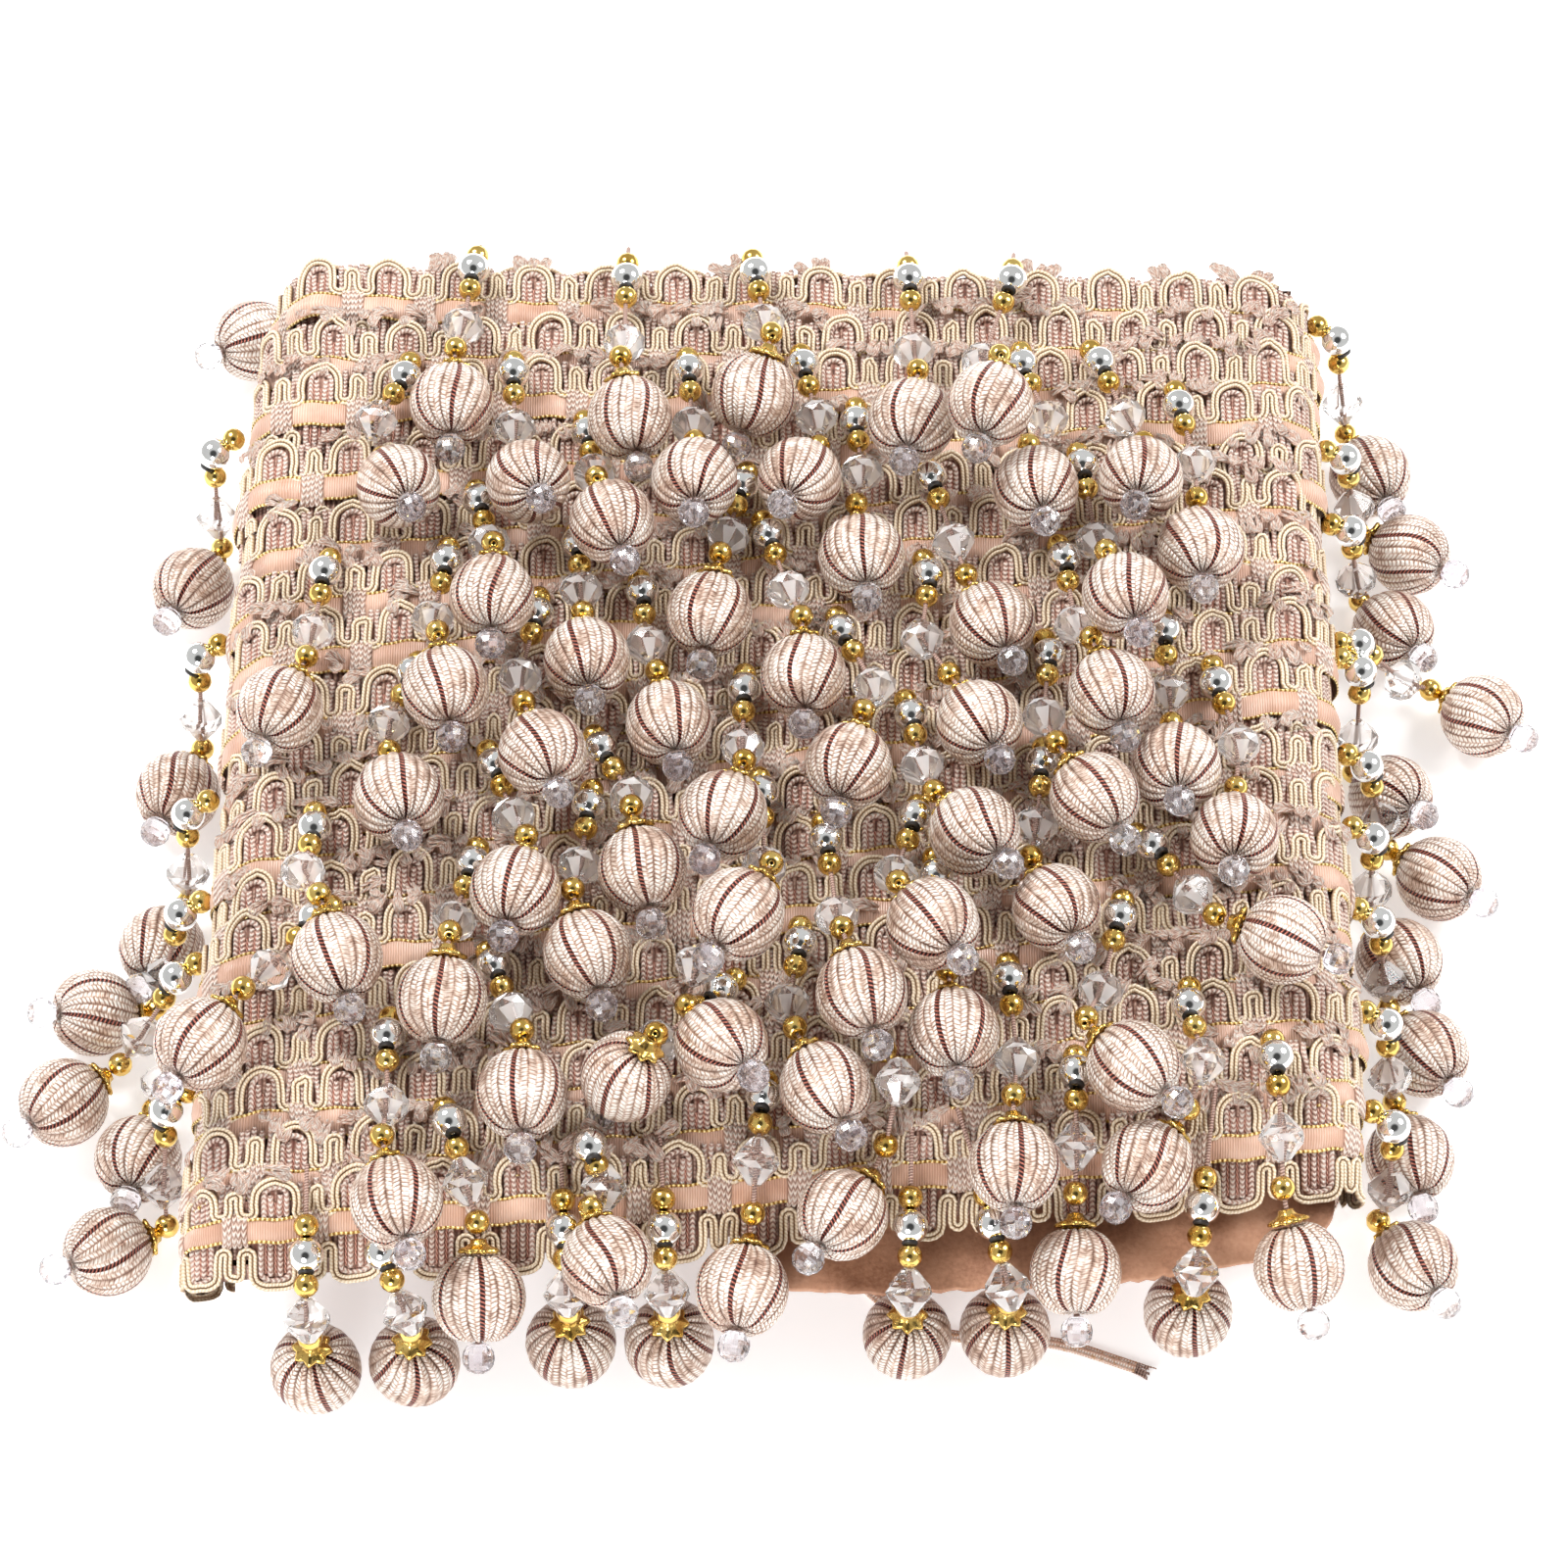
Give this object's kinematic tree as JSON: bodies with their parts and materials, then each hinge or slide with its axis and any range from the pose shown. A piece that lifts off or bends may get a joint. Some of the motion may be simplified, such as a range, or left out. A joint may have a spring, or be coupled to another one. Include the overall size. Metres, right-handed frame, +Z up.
{
  "type": "beaded fringe trim wound on a card",
  "caption": "Blush braid trim wound flat in shingled turns round a card, with strings of gold, silver and clear beads that each end in a satin-wrapped striped ball, and one loose tape end.",
  "frame": {"origin": "on the surface it rests on, near the middle of the flat underside of the wound pack", "axes": "+Z up, +X to the right along the turns, +Y towards the upper edge of the first turn"},
  "size_m": [0.3946, 0.3435, 0.0983],
  "materials": {
    "braid": "blush and cream gold cord braid with a satin ribbon",
    "drops": "satin-wrapped balls on strings of gold, silver and clear beads",
    "card": "plain kraft card"
  },
  "bodies": {
    "root": {"wound_braid": "braid", "left_fold_drops": "drops", "right_fold_drops": "drops", "back_drops_left": "drops", "back_drops_right": "drops", "back_drops_rear": "drops", "turn_17_drops": "drops", "turn_16_drops": "drops", "turn_15_drops": "drops", "turn_14_drops": "drops", "turn_13_drops": "drops", "turn_12_drops": "drops", "turn_11_drops": "drops", "turn_10_drops": "drops", "turn_09_drops": "drops", "turn_08_drops": "drops", "turn_07_drops": "drops", "turn_06_drops": "drops", "turn_05_drops": "drops", "turn_04_drops": "drops", "turn_03_drops": "drops", "turn_02_drops": "drops", "turn_00_drops": "drops", "card": "card", "loose_end": "braid"}
  },
  "joints": []
}
